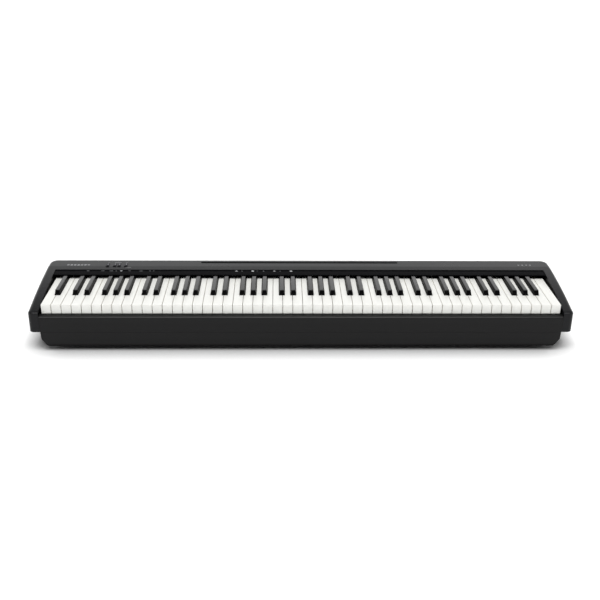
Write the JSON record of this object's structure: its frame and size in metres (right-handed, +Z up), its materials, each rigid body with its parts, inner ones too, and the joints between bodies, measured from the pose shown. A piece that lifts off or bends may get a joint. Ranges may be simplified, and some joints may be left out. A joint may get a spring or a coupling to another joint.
{
  "type": "digital piano",
  "caption": "Slab-shaped digital piano with a full-length weighted keyboard, a deck with push buttons and a music-rest slot, rear sockets and rubber feet.",
  "frame": {"origin": "middle of the footprint, on the surface that the rubber feet stand on", "axes": "+X from the bass keys to the treble keys, +Y from the player to the back, +Z up"},
  "size_m": [1.284, 0.258, 0.1322],
  "materials": {
    "key_white": "satin moulded white plastic",
    "key_black": "matt black plastic with a fine grain",
    "button_plastic": "matt black plastic",
    "shaft_steel": "drawn steel rod",
    "case_black": "charcoal-black moulded plastic with a fine grain",
    "tray_black": "black moulded plastic with a fine grain",
    "rail_black": "black moulded plastic with a fine grain",
    "strip_black": "smooth black plastic",
    "inner_plastic": "black plastic",
    "frame_steel": "zinc-plated folded sheet",
    "felt_red": "red wool felt",
    "board_green": "glass-fibre circuit board",
    "dome_rubber": "moulded silicone rubber",
    "jack_black": "black socket moulding",
    "port_metal": "plated pressed shell",
    "cable_grey": "grey flat cable",
    "basket_steel": "black painted pressed steel",
    "cone_paper": "black paper cone",
    "magnet_iron": "ferrite magnet",
    "foot_rubber": "black rubber",
    "insert_brass": "turned brass",
    "screw_steel": "black zinc screws"
  },
  "bodies": {
    "piano": {"board_screws": "screw_steel", "button_board": "board_green", "case_screws": "screw_steel", "contact_board": "board_green", "contact_domes": "dome_rubber", "dc_in_jack": "jack_black", "fallboard_strip": "strip_black", "flat_cables": "cable_grey", "front_rail": "rail_black", "jack_board": "board_green", "key_pivot_shaft": "shaft_steel", "key_rest_felt": "felt_red", "key_stop_felt": "felt_red", "keybed_frame": "frame_steel", "lower_case": "tray_black", "main_board": "board_green", "music_rest_channel": "inner_plastic", "pedal_jack": "jack_black", "phones_jack": "jack_black", "rubber_feet": "foot_rubber", "socket_panel": "tray_black", "speaker_cones": "cone_paper", "speaker_frames": "basket_steel", "speaker_magnets": "magnet_iron", "stand_inserts": "insert_brass", "upper_case": "case_black", "usb_computer_port": "port_metal", "usb_memory_port": "port_metal"},
    "key_c3": {"key_c3": "key_white"},
    "key_c_sharp3": {"key_c_sharp3": "key_black"},
    "key_d3": {"key_d3": "key_white"},
    "key_d_sharp3": {"key_d_sharp3": "key_black"},
    "key_e3": {"key_e3": "key_white"},
    "key_f3": {"key_f3": "key_white"},
    "key_f_sharp3": {"key_f_sharp3": "key_black"},
    "key_g3": {"key_g3": "key_white"},
    "key_g_sharp3": {"key_g_sharp3": "key_black"},
    "key_a3": {"key_a3": "key_white"},
    "key_a_sharp3": {"key_a_sharp3": "key_black"},
    "key_b3": {"key_b3": "key_white"},
    "key_c4": {"key_c4": "key_white"},
    "key_c_sharp4": {"key_c_sharp4": "key_black"},
    "key_d4": {"key_d4": "key_white"},
    "key_d_sharp4": {"key_d_sharp4": "key_black"},
    "key_e4": {"key_e4": "key_white"},
    "key_f4": {"key_f4": "key_white"},
    "key_f_sharp4": {"key_f_sharp4": "key_black"},
    "key_g4": {"key_g4": "key_white"},
    "key_g_sharp4": {"key_g_sharp4": "key_black"},
    "key_a4": {"key_a4": "key_white"},
    "key_a_sharp4": {"key_a_sharp4": "key_black"},
    "key_b4": {"key_b4": "key_white"},
    "white_keys_bass": {"white_keys_bass": "key_white"},
    "black_keys_bass": {"black_keys_bass": "key_black"},
    "white_keys_treble": {"white_keys_treble": "key_white"},
    "black_keys_treble": {"black_keys_treble": "key_black"},
    "power_button": {"power_button": "button_plastic"},
    "volume_down_button": {"volume_down_button": "button_plastic"},
    "volume_up_button": {"volume_up_button": "button_plastic"},
    "function_button": {"function_button": "button_plastic"}
  },
  "joints": [
    {"name": "key_c3_press", "type": "hinge", "parent": "piano", "child": "key_c3", "pos_m": [0, 0.095, 0.1], "axis": [1, 0, 0], "range_deg": [0, 2.7], "stiffness_Nm_per_rad": 1, "springref_deg": -11.46},
    {"name": "key_c_sharp3_press", "type": "hinge", "parent": "piano", "child": "key_c_sharp3", "pos_m": [0, 0.095, 0.1], "axis": [1, 0, 0], "range_deg": [0, 2.7], "stiffness_Nm_per_rad": 1, "springref_deg": -11.46},
    {"name": "key_d3_press", "type": "hinge", "parent": "piano", "child": "key_d3", "pos_m": [0, 0.095, 0.1], "axis": [1, 0, 0], "range_deg": [0, 2.7], "stiffness_Nm_per_rad": 1, "springref_deg": -11.46},
    {"name": "key_d_sharp3_press", "type": "hinge", "parent": "piano", "child": "key_d_sharp3", "pos_m": [0, 0.095, 0.1], "axis": [1, 0, 0], "range_deg": [0, 2.7], "stiffness_Nm_per_rad": 1, "springref_deg": -11.46},
    {"name": "key_e3_press", "type": "hinge", "parent": "piano", "child": "key_e3", "pos_m": [0, 0.095, 0.1], "axis": [1, 0, 0], "range_deg": [0, 2.7], "stiffness_Nm_per_rad": 1, "springref_deg": -11.46},
    {"name": "key_f3_press", "type": "hinge", "parent": "piano", "child": "key_f3", "pos_m": [0, 0.095, 0.1], "axis": [1, 0, 0], "range_deg": [0, 2.7], "stiffness_Nm_per_rad": 1, "springref_deg": -11.46},
    {"name": "key_f_sharp3_press", "type": "hinge", "parent": "piano", "child": "key_f_sharp3", "pos_m": [0, 0.095, 0.1], "axis": [1, 0, 0], "range_deg": [0, 2.7], "stiffness_Nm_per_rad": 1, "springref_deg": -11.46},
    {"name": "key_g3_press", "type": "hinge", "parent": "piano", "child": "key_g3", "pos_m": [0, 0.095, 0.1], "axis": [1, 0, 0], "range_deg": [0, 2.7], "stiffness_Nm_per_rad": 1, "springref_deg": -11.46},
    {"name": "key_g_sharp3_press", "type": "hinge", "parent": "piano", "child": "key_g_sharp3", "pos_m": [0, 0.095, 0.1], "axis": [1, 0, 0], "range_deg": [0, 2.7], "stiffness_Nm_per_rad": 1, "springref_deg": -11.46},
    {"name": "key_a3_press", "type": "hinge", "parent": "piano", "child": "key_a3", "pos_m": [0, 0.095, 0.1], "axis": [1, 0, 0], "range_deg": [0, 2.7], "stiffness_Nm_per_rad": 1, "springref_deg": -11.46},
    {"name": "key_a_sharp3_press", "type": "hinge", "parent": "piano", "child": "key_a_sharp3", "pos_m": [0, 0.095, 0.1], "axis": [1, 0, 0], "range_deg": [0, 2.7], "stiffness_Nm_per_rad": 1, "springref_deg": -11.46},
    {"name": "key_b3_press", "type": "hinge", "parent": "piano", "child": "key_b3", "pos_m": [0, 0.095, 0.1], "axis": [1, 0, 0], "range_deg": [0, 2.7], "stiffness_Nm_per_rad": 1, "springref_deg": -11.46},
    {"name": "key_c4_press", "type": "hinge", "parent": "piano", "child": "key_c4", "pos_m": [0, 0.095, 0.1], "axis": [1, 0, 0], "range_deg": [0, 2.7], "stiffness_Nm_per_rad": 1, "springref_deg": -11.46},
    {"name": "key_c_sharp4_press", "type": "hinge", "parent": "piano", "child": "key_c_sharp4", "pos_m": [0, 0.095, 0.1], "axis": [1, 0, 0], "range_deg": [0, 2.7], "stiffness_Nm_per_rad": 1, "springref_deg": -11.46},
    {"name": "key_d4_press", "type": "hinge", "parent": "piano", "child": "key_d4", "pos_m": [0, 0.095, 0.1], "axis": [1, 0, 0], "range_deg": [0, 2.7], "stiffness_Nm_per_rad": 1, "springref_deg": -11.46},
    {"name": "key_d_sharp4_press", "type": "hinge", "parent": "piano", "child": "key_d_sharp4", "pos_m": [0, 0.095, 0.1], "axis": [1, 0, 0], "range_deg": [0, 2.7], "stiffness_Nm_per_rad": 1, "springref_deg": -11.46},
    {"name": "key_e4_press", "type": "hinge", "parent": "piano", "child": "key_e4", "pos_m": [0, 0.095, 0.1], "axis": [1, 0, 0], "range_deg": [0, 2.7], "stiffness_Nm_per_rad": 1, "springref_deg": -11.46},
    {"name": "key_f4_press", "type": "hinge", "parent": "piano", "child": "key_f4", "pos_m": [0, 0.095, 0.1], "axis": [1, 0, 0], "range_deg": [0, 2.7], "stiffness_Nm_per_rad": 1, "springref_deg": -11.46},
    {"name": "key_f_sharp4_press", "type": "hinge", "parent": "piano", "child": "key_f_sharp4", "pos_m": [0, 0.095, 0.1], "axis": [1, 0, 0], "range_deg": [0, 2.7], "stiffness_Nm_per_rad": 1, "springref_deg": -11.46},
    {"name": "key_g4_press", "type": "hinge", "parent": "piano", "child": "key_g4", "pos_m": [0, 0.095, 0.1], "axis": [1, 0, 0], "range_deg": [0, 2.7], "stiffness_Nm_per_rad": 1, "springref_deg": -11.46},
    {"name": "key_g_sharp4_press", "type": "hinge", "parent": "piano", "child": "key_g_sharp4", "pos_m": [0, 0.095, 0.1], "axis": [1, 0, 0], "range_deg": [0, 2.7], "stiffness_Nm_per_rad": 1, "springref_deg": -11.46},
    {"name": "key_a4_press", "type": "hinge", "parent": "piano", "child": "key_a4", "pos_m": [0, 0.095, 0.1], "axis": [1, 0, 0], "range_deg": [0, 2.7], "stiffness_Nm_per_rad": 1, "springref_deg": -11.46},
    {"name": "key_a_sharp4_press", "type": "hinge", "parent": "piano", "child": "key_a_sharp4", "pos_m": [0, 0.095, 0.1], "axis": [1, 0, 0], "range_deg": [0, 2.7], "stiffness_Nm_per_rad": 1, "springref_deg": -11.46},
    {"name": "key_b4_press", "type": "hinge", "parent": "piano", "child": "key_b4", "pos_m": [0, 0.095, 0.1], "axis": [1, 0, 0], "range_deg": [0, 2.7], "stiffness_Nm_per_rad": 1, "springref_deg": -11.46},
    {"name": "white_keys_bass_press", "type": "hinge", "parent": "piano", "child": "white_keys_bass", "pos_m": [0, 0.095, 0.1], "axis": [1, 0, 0], "range_deg": [0, 2.7], "stiffness_Nm_per_rad": 16, "springref_deg": -11.46},
    {"name": "black_keys_bass_press", "type": "hinge", "parent": "piano", "child": "black_keys_bass", "pos_m": [0, 0.095, 0.1], "axis": [1, 0, 0], "range_deg": [0, 2.7], "stiffness_Nm_per_rad": 11, "springref_deg": -11.46},
    {"name": "white_keys_treble_press", "type": "hinge", "parent": "piano", "child": "white_keys_treble", "pos_m": [0, 0.095, 0.1], "axis": [1, 0, 0], "range_deg": [0, 2.7], "stiffness_Nm_per_rad": 22, "springref_deg": -11.46},
    {"name": "black_keys_treble_press", "type": "hinge", "parent": "piano", "child": "black_keys_treble", "pos_m": [0, 0.095, 0.1], "axis": [1, 0, 0], "range_deg": [0, 2.7], "stiffness_Nm_per_rad": 15, "springref_deg": -11.46},
    {"name": "power_button_push", "type": "slide", "parent": "piano", "child": "power_button", "axis": [0, 0, -1], "range_m": [0, 0.001], "stiffness_N_per_m": 300, "springref_m": -0.002},
    {"name": "volume_down_button_push", "type": "slide", "parent": "piano", "child": "volume_down_button", "axis": [0, 0, -1], "range_m": [0, 0.001], "stiffness_N_per_m": 300, "springref_m": -0.002},
    {"name": "volume_up_button_push", "type": "slide", "parent": "piano", "child": "volume_up_button", "axis": [0, 0, -1], "range_m": [0, 0.001], "stiffness_N_per_m": 300, "springref_m": -0.002},
    {"name": "function_button_push", "type": "slide", "parent": "piano", "child": "function_button", "axis": [0, 0, -1], "range_m": [0, 0.001], "stiffness_N_per_m": 300, "springref_m": -0.002}
  ]
}
